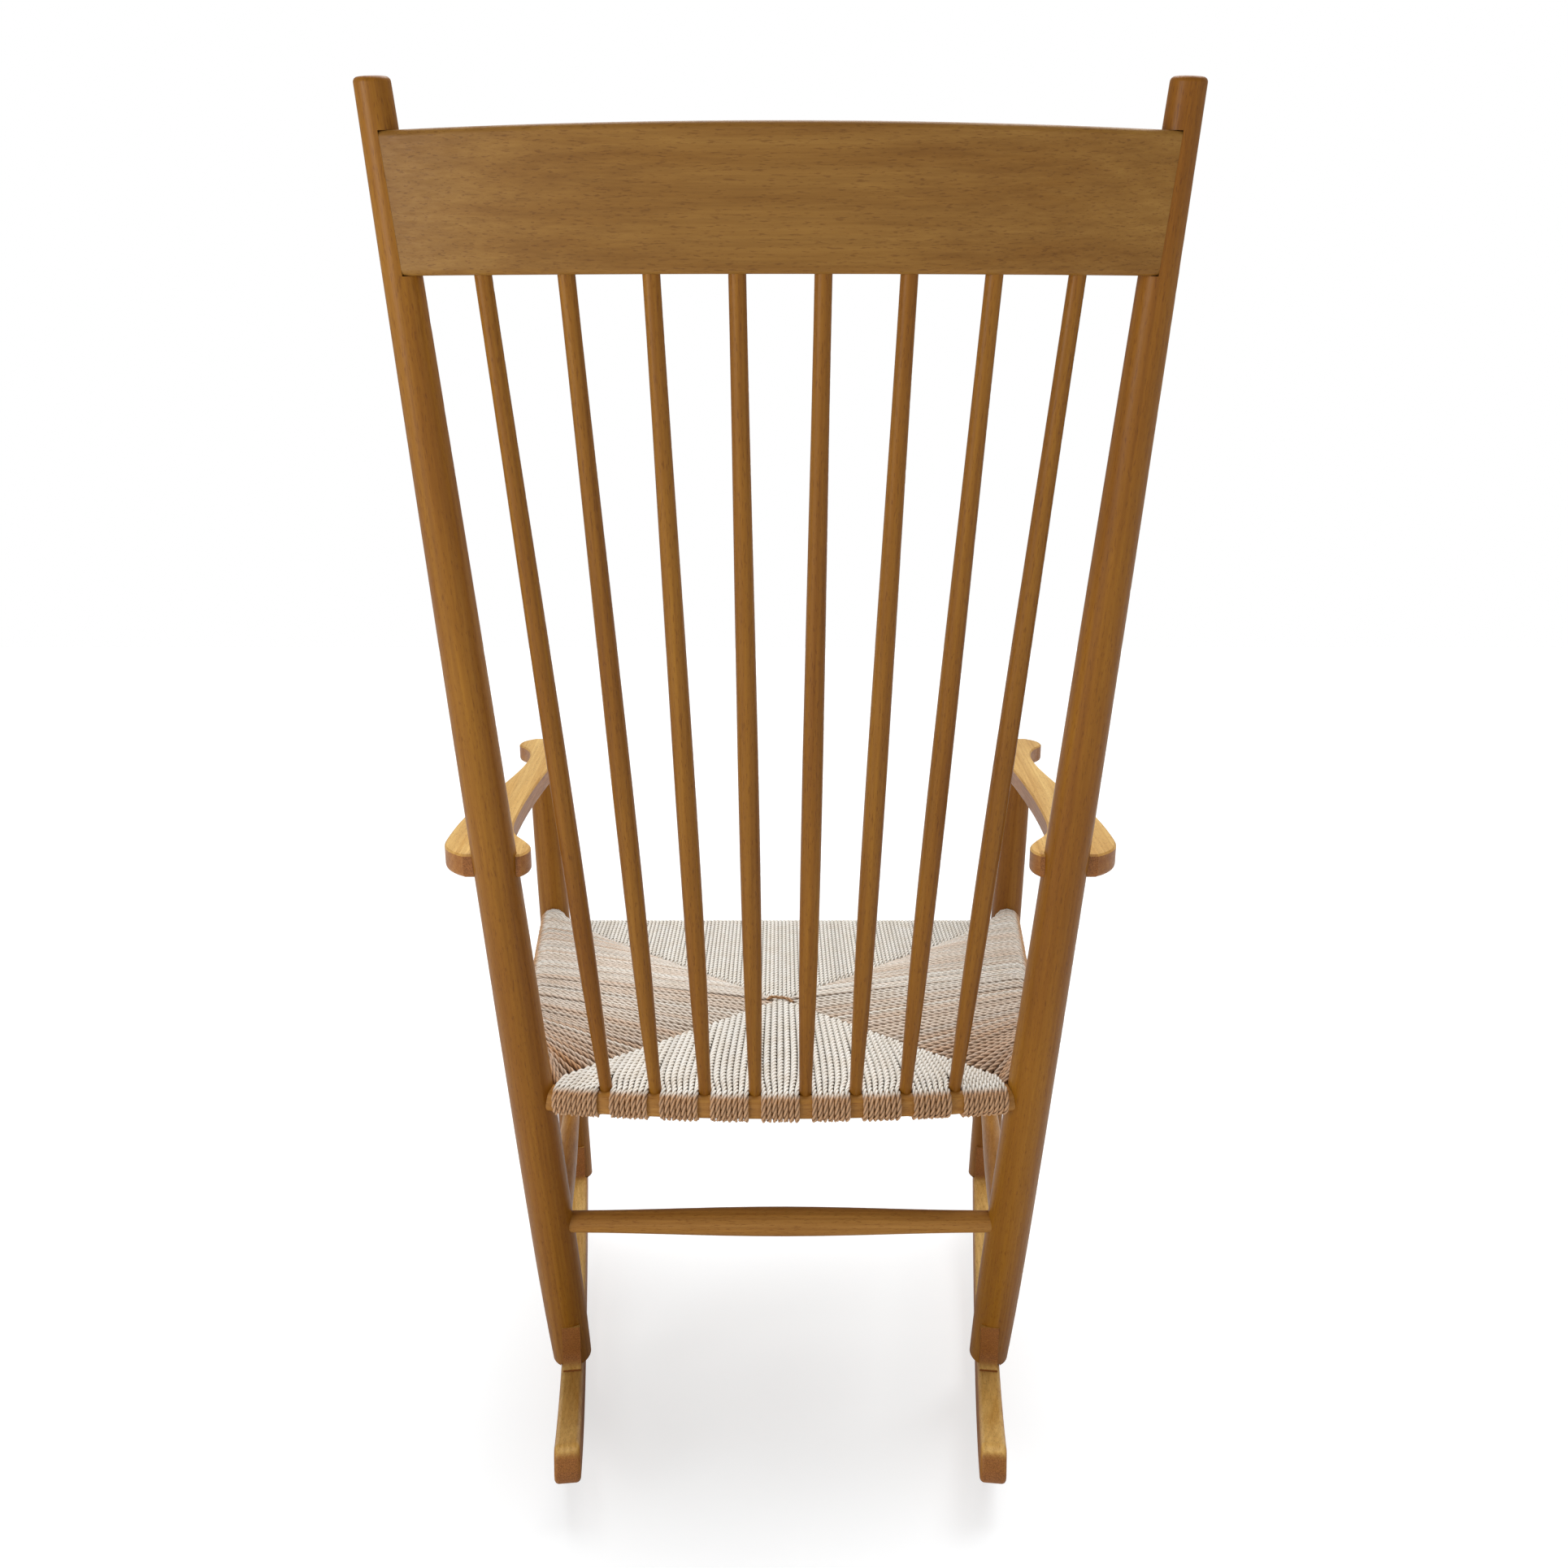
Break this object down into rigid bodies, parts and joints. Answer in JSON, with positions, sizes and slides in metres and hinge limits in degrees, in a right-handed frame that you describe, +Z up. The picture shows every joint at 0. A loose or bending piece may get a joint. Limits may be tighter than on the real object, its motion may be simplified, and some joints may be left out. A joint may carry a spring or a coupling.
{
  "type": "spindle-back rocking chair",
  "caption": "High spindle-back rocking chair with turned posts, curved arms forked onto the back posts, bentwood rockers and an envelope-woven cord seat.",
  "frame": {"origin": "floor level, on the symmetry plane, at the middle of the chair's depth", "axes": "+Z up, the sitter faces -Y, +X is the sitter's left"},
  "size_m": [0.6186, 0.9014, 1.077],
  "materials": {
    "beech": "satin honey-coloured oil or lacquer",
    "cord": "matt twisted paper cord"
  },
  "bodies": {
    "root": {"back_post_left": "beech", "back_post_right": "beech", "front_post_left": "beech", "front_post_right": "beech", "rocker_left": "beech", "rocker_right": "beech", "arm_left": "beech", "arm_right": "beech", "crest_rail": "beech", "spindle_1": "beech", "spindle_2": "beech", "spindle_3": "beech", "spindle_4": "beech", "spindle_5": "beech", "spindle_6": "beech", "spindle_7": "beech", "spindle_8": "beech", "seat_rail_front": "beech", "seat_rail_rear": "beech", "seat_rail_left": "beech", "seat_rail_right": "beech", "stretcher_front": "beech", "stretcher_rear": "beech", "stretcher_left": "beech", "stretcher_right": "beech", "crest_dowels": "beech", "arm_dowels": "beech", "seat_weave_front": "cord", "seat_weave_rear": "cord", "seat_weave_left": "cord", "seat_weave_right": "cord"}
  },
  "joints": []
}
